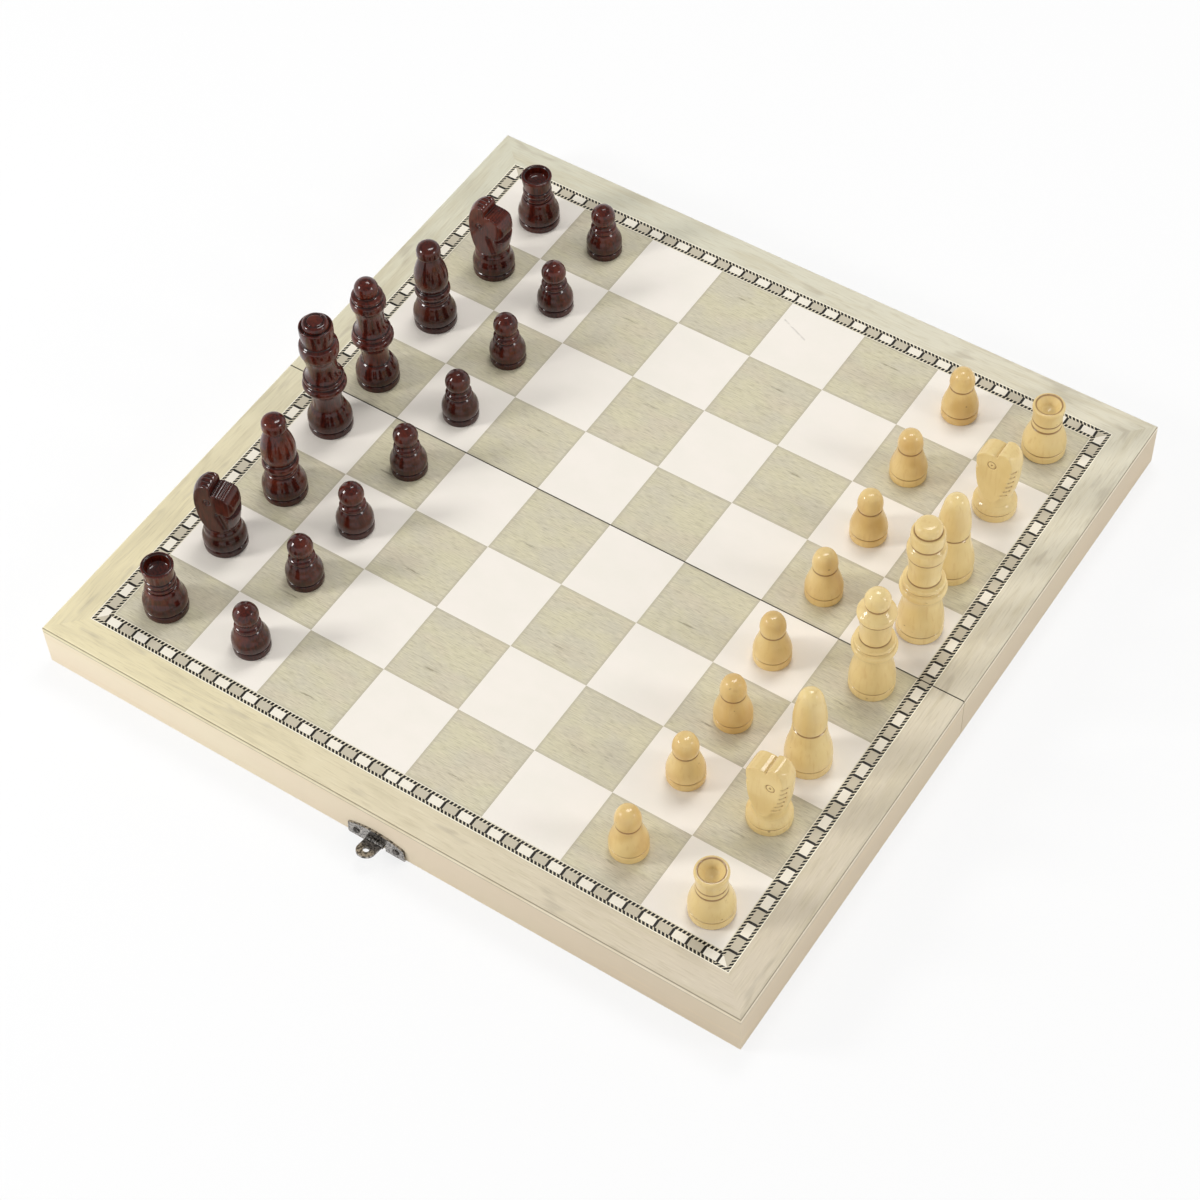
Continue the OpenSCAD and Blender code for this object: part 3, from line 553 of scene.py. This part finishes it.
def turned_mesh(node, steps):
    """Half of the node's section, softened as sanding does and spun round the man's own axis."""
    low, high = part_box(node)
    axis_x, axis_y = (low.x + high.x) / 2, (low.y + high.y) / 2
    mesh = bmesh.new()
    mesh.from_mesh(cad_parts[node].data)
    bmesh.ops.remove_doubles(mesh, verts=mesh.verts, dist=NODE_WELD)
    bmesh.ops.bisect_plane(
        mesh, geom=mesh.verts[:] + mesh.edges[:] + mesh.faces[:], dist=MESH_WELD,
        plane_co=(axis_x, 0, 0), plane_no=(-1, 0, 0), clear_outer=True,
    )
    cut = bmesh.ops.bisect_plane(
        mesh, geom=mesh.verts[:] + mesh.edges[:] + mesh.faces[:], dist=MESH_WELD,
        plane_co=(0, axis_y, 0), plane_no=(0, 1, 0),
    )["geom_cut"]
    keep = {edge for edge in cut if isinstance(edge, bmesh.types.BMEdge)}
    bmesh.ops.delete(mesh, geom=mesh.faces[:], context="FACES_ONLY")
    others = [edge for edge in mesh.edges if edge not in keep]
    bmesh.ops.delete(mesh, geom=others, context="EDGES")
    loose = [vert for vert in mesh.verts if not vert.link_edges]
    bmesh.ops.delete(mesh, geom=loose, context="VERTS")
    bmesh.ops.remove_doubles(mesh, verts=mesh.verts, dist=SECTION_WELD)
    grooves = hollows(mesh)
    soften_profile(mesh, 2)
    for vert in mesh.verts:
        if len(vert.link_edges) == 1:
            vert.co.x = axis_x
            vert.co.z = vert.link_edges[0].other_vert(vert).co.z
    mark_grooves(mesh, grooves)
    bmesh.ops.spin(
        mesh, geom=mesh.verts[:] + mesh.edges[:], cent=(axis_x, axis_y, 0), axis=(0, 0, 1),
        angle=math.tau, steps=steps, use_merge=True,
    )
    bmesh.ops.remove_doubles(mesh, verts=mesh.verts, dist=MESH_WELD)
    bmesh.ops.recalc_face_normals(mesh, faces=mesh.faces[:])
    for face in mesh.faces:
        face.smooth = True
    data = bpy.data.meshes.new(node + "_turned")
    mesh.to_mesh(data)
    mesh.free()
    return data


def carved_mesh(node, voxel, passes):
    """The node's own form with its sawn edges worn round, as hand sanding leaves them."""
    mesh = bmesh.new()
    mesh.from_mesh(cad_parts[node].data)
    bmesh.ops.remove_doubles(mesh, verts=mesh.verts, dist=MESH_WELD)
    data = bpy.data.meshes.new(node + "_blank")
    mesh.to_mesh(data)
    mesh.free()
    blank = bpy.data.objects.new(node + "_blank", data)
    bpy.context.collection.objects.link(blank)
    remesh = blank.modifiers.new("Sanded", "REMESH")
    remesh.mode = "VOXEL"
    remesh.voxel_size = voxel
    sand = blank.modifiers.new("Worn", "SMOOTH")
    sand.factor = 0.5
    sand.iterations = passes
    shape = blank.evaluated_get(bpy.context.evaluated_depsgraph_get())
    carved = bpy.data.meshes.new_from_object(shape)
    bpy.data.objects.remove(blank)
    carved.shade_smooth()
    mark_cuts(carved, FULL_CUT * voxel)
    return carved


def mark_cuts(data, deepest):
    """Stores how far each point lies below those round it, as a share of the deepest cut, as the
    mask of painted shade in the cuts.
    """
    mesh = bmesh.new()
    mesh.from_mesh(data)
    groove = mesh.verts.layers.float.new("groove")
    for vert in mesh.verts:
        around = [edge.other_vert(vert).co for edge in vert.link_edges]
        middle = sum(around, Vector()) / len(around)
        vert[groove] = min(max((middle - vert.co).dot(vert.normal) / deepest, 0.0), 1.0)
    mesh.to_mesh(data)
    mesh.free()


# ---- Settings ----


class BoardSettings(bpy.types.PropertyGroup):
    square: bpy.props.FloatProperty(
        name="Square", description="Side of one playing square", default=31.7 * MM, unit="LENGTH"
    )
    border: bpy.props.FloatProperty(
        name="Border", description="Width of the border, as a share of a square", default=0.18
    )
    cells: bpy.props.IntProperty(
        name="Border cells", description="Cells of the border along a side", default=43
    )
    metal_roughness: bpy.props.FloatProperty(
        name="Metal roughness", description="Roughness of the plated metal",
        default=0.12, subtype="FACTOR",
    )


class MenSettings(bpy.types.PropertyGroup):
    steps: bpy.props.IntProperty(name="Steps", description="Steps round a turned man", default=72)
    voxel: bpy.props.FloatProperty(
        name="Finest cut", description="Finest detail left on a knight",
        default=0.2 * MM, unit="LENGTH",
    )
    dark_sanding: bpy.props.IntProperty(
        name="Dark sanding", description="Passes that wear the dark knights' edges", default=4
    )
    light_sanding: bpy.props.IntProperty(
        name="Light sanding", description="Passes that wear the light knights' edges", default=8
    )
    dark_stain: bpy.props.IntVectorProperty(
        name="Dark stain", description="Stain of the dark men, 0 to 255", default=(84, 24, 12)
    )
    light_tone: bpy.props.IntVectorProperty(
        name="Light tone", description="Wood of the light men, 0 to 255", default=(232, 207, 146)
    )
    pawn_tone: bpy.props.IntVectorProperty(
        name="Light pawns", description="Wood of the light pawns, 0 to 255", default=(231, 202, 138)
    )


class StageSettings(bpy.types.PropertyGroup):
    lens: bpy.props.FloatProperty(
        name="Lens", description="Focal length of the camera in mm", default=85.277
    )
    overhead: bpy.props.FloatProperty(
        name="Overhead", description="Even light from overhead, where 1 is white", default=0.3
    )
    left: bpy.props.FloatProperty(
        name="Left", description="Power of the left softbox", default=6.0, unit="POWER"
    )
    over: bpy.props.FloatProperty(
        name="Over", description="Power of the high softbox", default=4.4, unit="POWER"
    )
    right: bpy.props.FloatProperty(
        name="Right", description="Power of the right softbox", default=2.5, unit="POWER"
    )


# ---- Operators ----


class BOARDBOX_OT_panels(bpy.types.Operator):
    """Prints the veneer of the two playing panels"""

    bl_idname = "boardbox.panels"
    bl_label = "Playing Panels"

    def execute(self, context):
        dress(["near_panel", "far_panel"], printed_panel(context.scene.boardbox_board))
        return {"FINISHED"}


class BOARDBOX_OT_walls(bpy.types.Operator):
    """Gives the eight walls their bare wood, each with its grain along its length"""

    bl_idname = "boardbox.walls"
    bl_label = "Walls"

    def execute(self, context):
        dress(WALLS_ALONG_X, raw_wall("wall_wood_along_fold", True))
        dress(WALLS_ALONG_Y, raw_wall("wall_wood_along_side", False))
        return {"FINISHED"}


class BOARDBOX_OT_metalwork(bpy.types.Operator):
    """Plates the hinges and the clasp"""

    bl_idname = "boardbox.metalwork"
    bl_label = "Hinges and Clasp"

    def execute(self, context):
        rough = context.scene.boardbox_board.metal_roughness
        dress(PLATED, plated_metal("nickel_plate", (176, 171, 166), rough))
        dress(FASTENERS, plated_metal("plain_steel", (124, 120, 116), rough + 0.08))
        return {"FINISHED"}


class BOARDBOX_OT_turned_men(bpy.types.Operator):
    """Turns the kings, queens, bishops, rooks and pawns of both sides"""

    bl_idname = "boardbox.turned_men"
    bl_label = "Turned Men"

    def execute(self, context):
        men = context.scene.boardbox_men
        for side, names in MEN.items():
            for name in names:
                if name in KNIGHTS:
                    continue
                data = turned_mesh(name, men.steps)
                material = finish_of(name, men)
                piece_from(data, name + "_turned", name, name, side + "_varnish", material)
        return {"FINISHED"}


class BOARDBOX_OT_knights(bpy.types.Operator):
    """Sands the four sawn knights"""

    bl_idname = "boardbox.knights"
    bl_label = "Knights"

    def execute(self, context):
        men = context.scene.boardbox_men
        for name in KNIGHTS:
            side = name.split("_")[0]
            passes = men.dark_sanding if side == "dark" else men.light_sanding
            data = carved_mesh(name, men.voxel, passes)
            piece_from(data, name + "_carved", name, name, side + "_varnish", finish_of(name, men))
        return {"FINISHED"}


def finish_of(name, men):
    """The varnish of a man, made once for each finish."""
    if name.startswith("dark"):
        key = "red_brown_varnish"
    else:
        key = "honey_varnish" if "pawn" in name else "straw_varnish"
    if key in bpy.data.materials:
        return bpy.data.materials[key]
    if key == "red_brown_varnish":
        return dark_varnish(key, men)
    if key == "straw_varnish":
        return light_varnish(key, men.light_tone, (224, 196, 134))
    return light_varnish(key, men.pawn_tone, (214, 178, 112))


class BOARDBOX_OT_stage(bpy.types.Operator):
    """Sets up the pale floor, the softboxes and the camera"""

    bl_idname = "boardbox.stage"
    bl_label = "Stage"

    def execute(self, context):
        stage = context.scene.boardbox_stage
        pale_floor()
        studio_walls(stage.overhead)
        for name, place, long_way, sides in SOFTBOXES:
            softbox(name + "_softbox", place, long_way, sides, getattr(stage, name))
        photograph_camera(stage.lens)
        context.scene.view_settings.view_transform = "Standard"
        return {"FINISHED"}


def pale_floor():
    """White floor that keeps the soft shadow and lets the camera see what folds below it."""
    mesh = bmesh.new()
    bmesh.ops.create_grid(mesh, x_segments=1, y_segments=1, size=FLOOR_REACH)
    bmesh.ops.translate(mesh, verts=mesh.verts, vec=(0, 0, -FLOOR_GAP))
    data = bpy.data.meshes.new("floor")
    mesh.to_mesh(data)
    mesh.free()
    floor = bpy.data.objects.new("floor", data)
    bpy.context.collection.objects.link(floor)
    white = (0.95, 0.95, 0.95, 1.0)
    finish = Finish("pale_floor", roughness=0.9, Base_Color=white, Specular_IOR_Level=0.0)
    rays = finish.node("ShaderNodeLightPath").outputs
    camera, glossy, passed, shadow = (
        Shade(finish, rays["Is " + kind + " Ray"])
        for kind in ("Camera", "Glossy", "Transmission", "Shadow")
    )
    clear = finish.node("ShaderNodeBsdfTransparent").outputs["BSDF"]
    blend = finish.node("ShaderNodeMixShader")
    finish.feed(blend.inputs[0], (camera | glossy | passed) * SEE_THROUGH | shadow)
    finish.feed(blend.inputs[1], finish.surface.outputs["BSDF"])
    finish.feed(blend.inputs[2], clear)
    finish.feed(finish.tree.nodes["Material Output"].inputs["Surface"], blend.outputs["Shader"])
    data.materials.append(finish.material)


def studio_walls(overhead):
    """White all round and below, as a white sweep is, and dimmer overhead."""
    world = bpy.data.worlds.new("studio_walls")
    bpy.context.scene.world = world
    world.use_nodes = True
    nodes = Nodes(world.node_tree)
    height = nodes.split(nodes.node("ShaderNodeTexCoord").outputs["Generated"])[2]
    background = nodes.tree.nodes["Background"]
    background.inputs["Color"].default_value = (1.0, 1.0, 1.0, 1.0)
    nodes.feed(background.inputs["Strength"], 1 - height.rise(0.3, 0.6) * (1 - overhead))


def softbox(name, place, long_way, size, power):
    """A rectangular lamp that faces the middle of the board."""
    lamp = bpy.data.lights.new(name, "AREA")
    lamp.shape = "RECTANGLE"
    lamp.size, lamp.size_y = size
    lamp.energy = power
    back = Vector(place).normalized()
    up = back.cross(Vector(long_way)).normalized()
    turn = Matrix((up.cross(back), up, back)).transposed().to_4x4()
    light = bpy.data.objects.new(name, lamp)
    light.matrix_world = Matrix.Translation(place) @ turn
    bpy.context.collection.objects.link(light)


def photograph_camera(lens):
    """The camera that took the photograph, from its solved place and turn."""
    right, down, ahead = Matrix.Rotation(CAMERA_TURN.length, 3, CAMERA_TURN.normalized())
    columns = Matrix((right, -down, -ahead)).transposed().to_4x4()
    data = bpy.data.cameras.new("camera")
    data.sensor_width = SENSOR_WIDTH
    data.lens = lens
    data.clip_start = 0.05
    camera = bpy.data.objects.new("camera", data)
    camera.matrix_world = Matrix.Translation(CAMERA_PLACE) @ columns
    bpy.context.collection.objects.link(camera)
    bpy.context.scene.camera = camera


class BOARDBOX_PT_sidebar(bpy.types.Panel):
    """Shows the settings of the board box and the buttons that dress it"""

    bl_idname = "BOARDBOX_PT_sidebar"
    bl_label = "Board Box"
    bl_space_type = "VIEW_3D"
    bl_region_type = "UI"
    bl_category = "Board Box"

    def draw(self, context):
        for title, group in (("Box", "board"), ("Men", "men"), ("Stage", "stage")):
            box = self.layout.box()
            box.label(text=title)
            settings = getattr(context.scene, "boardbox_" + group)
            for name in settings.__annotations__:
                box.prop(settings, name)
        for operator in OPERATORS:
            self.layout.operator(operator.bl_idname)


SETTINGS = {
    "boardbox_board": BoardSettings,
    "boardbox_men": MenSettings,
    "boardbox_stage": StageSettings,
}
OPERATORS = [
    BOARDBOX_OT_panels,
    BOARDBOX_OT_walls,
    BOARDBOX_OT_metalwork,
    BOARDBOX_OT_turned_men,
    BOARDBOX_OT_knights,
    BOARDBOX_OT_stage,
]


def register():
    for group in [*SETTINGS.values(), *OPERATORS, BOARDBOX_PT_sidebar]:
        bpy.utils.register_class(group)
    for name, group in SETTINGS.items():
        setattr(bpy.types.Scene, name, bpy.props.PointerProperty(type=group))


def unregister():
    for name in SETTINGS:
        delattr(bpy.types.Scene, name)
    for group in reversed([*SETTINGS.values(), *OPERATORS, BOARDBOX_PT_sidebar]):
        bpy.utils.unregister_class(group)


def main():
    register()
    for operator in OPERATORS:
        call = getattr(bpy.ops.boardbox, operator.bl_idname.split(".")[1])
        if call() != {"FINISHED"}:
            raise RuntimeError(operator.bl_label + " wasn't finished")


if __name__ == "__main__":
    main()
